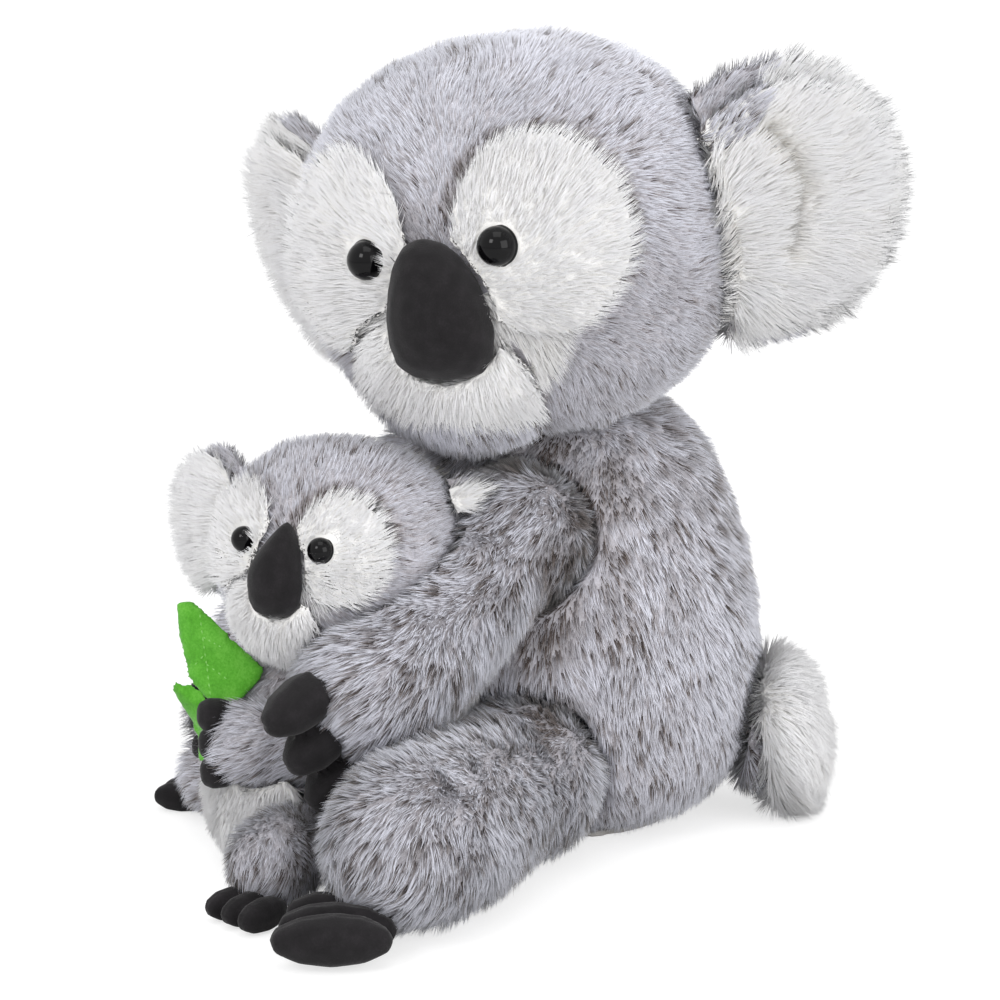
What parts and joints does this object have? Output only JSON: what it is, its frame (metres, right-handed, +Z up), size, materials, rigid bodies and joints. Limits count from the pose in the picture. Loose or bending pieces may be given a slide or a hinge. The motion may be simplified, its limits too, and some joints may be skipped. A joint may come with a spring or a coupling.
{
  "type": "plush koala",
  "caption": "Seated plush koala with long frosted pile that hugs a small plush baby; the baby holds a green leaf. Head turns, ears fold, legs splay and tail lifts.",
  "frame": {"origin": "middle of the seat panel's underside, on the surface that the toy sits on", "axes": "+Z up, -Y the way that the toy's body faces, +X the toy's left"},
  "size_m": [0.3492, 0.2782, 0.2966],
  "materials": {
    "frosted_grey_plush": "long pile, brown-grey root and pale tip",
    "white_plush": "soft white pile",
    "charcoal_suede": "short suede nap",
    "black_plastic": "polished",
    "washer_plastic": "plain",
    "leaf_green_plush": "short plush with embossed veins",
    "calico": "plain weave"
  },
  "bodies": {
    "torso": {"baby_arm_left": "frosted_grey_plush", "baby_arm_right": "frosted_grey_plush", "baby_belly_patch": "white_plush", "baby_body": "frosted_grey_plush", "baby_ear_left": "frosted_grey_plush", "baby_ear_lining_left": "white_plush", "baby_ear_lining_right": "white_plush", "baby_ear_right": "frosted_grey_plush", "baby_eye_left": "black_plastic", "baby_eye_patch_left": "white_plush", "baby_eye_patch_right": "white_plush", "baby_eye_right": "black_plastic", "baby_eye_washer_left": "washer_plastic", "baby_eye_washer_right": "washer_plastic", "baby_foot_claws_left": "charcoal_suede", "baby_foot_claws_right": "charcoal_suede", "baby_hand_claws_left": "charcoal_suede", "baby_hand_claws_right": "charcoal_suede", "baby_head": "frosted_grey_plush", "baby_leg_left": "frosted_grey_plush", "baby_leg_right": "frosted_grey_plush", "baby_muzzle": "white_plush", "baby_nose": "charcoal_suede", "bean_pouch": "calico", "leaf_lower": "leaf_green_plush", "leaf_upper": "leaf_green_plush", "mother_arm_left": "frosted_grey_plush", "mother_arm_right": "frosted_grey_plush", "mother_bib": "white_plush", "mother_body": "frosted_grey_plush", "mother_hand_claws_left": "charcoal_suede", "mother_hand_claws_right": "charcoal_suede", "seat_panel": "frosted_grey_plush"},
    "head": {"mother_eye_left": "black_plastic", "mother_eye_patch_left": "white_plush", "mother_eye_patch_right": "white_plush", "mother_eye_right": "black_plastic", "mother_eye_washer_left": "washer_plastic", "mother_eye_washer_right": "washer_plastic", "mother_head": "frosted_grey_plush", "mother_muzzle": "white_plush", "mother_nose": "charcoal_suede"},
    "ear_left": {"mother_ear_left": "frosted_grey_plush", "mother_ear_lining_left": "white_plush"},
    "leg_left": {"mother_leg_left": "frosted_grey_plush", "mother_foot_claws_left": "charcoal_suede"},
    "ear_right": {"mother_ear_right": "frosted_grey_plush", "mother_ear_lining_right": "white_plush"},
    "leg_right": {"mother_leg_right": "frosted_grey_plush", "mother_foot_claws_right": "charcoal_suede"},
    "tail": {"mother_tail": "frosted_grey_plush", "mother_tail_tuft": "white_plush"}
  },
  "joints": [
    {"name": "head_turn", "type": "hinge", "parent": "torso", "child": "head", "pos_m": [0, 0, 0.16], "axis": [0, 0, 1], "range_deg": [-15, 15], "stiffness_Nm_per_rad": 0.3},
    {"name": "ear_left_fold", "type": "hinge", "parent": "head", "child": "ear_left", "pos_m": [0.03692, 0.05646, 0.23635], "axis": [0.1183, 0.0701, 0.9905], "range_deg": [0, 15], "stiffness_Nm_per_rad": 0.15},
    {"name": "ear_right_fold", "type": "hinge", "parent": "head", "child": "ear_right", "pos_m": [-0.06282, -0.05678, 0.21382], "axis": [-0.2421, -0.339, 0.9091], "range_deg": [-15, 0], "stiffness_Nm_per_rad": 0.15},
    {"name": "leg_left_splay", "type": "hinge", "parent": "torso", "child": "leg_left", "pos_m": [0.06155, -0.03554, 0.03131], "axis": [0, 0, 1], "range_deg": [0, 10], "stiffness_Nm_per_rad": 0.6},
    {"name": "leg_right_splay", "type": "hinge", "parent": "torso", "child": "leg_right", "pos_m": [-0.06155, -0.03554, 0.03131], "axis": [0, 0, 1], "range_deg": [-10, 0], "stiffness_Nm_per_rad": 0.6},
    {"name": "tail_lift", "type": "hinge", "parent": "torso", "child": "tail", "pos_m": [0.03296, 0.07069, 0.062], "axis": [0.9063, -0.4226, 0], "range_deg": [0, 20], "stiffness_Nm_per_rad": 0.1}
  ]
}
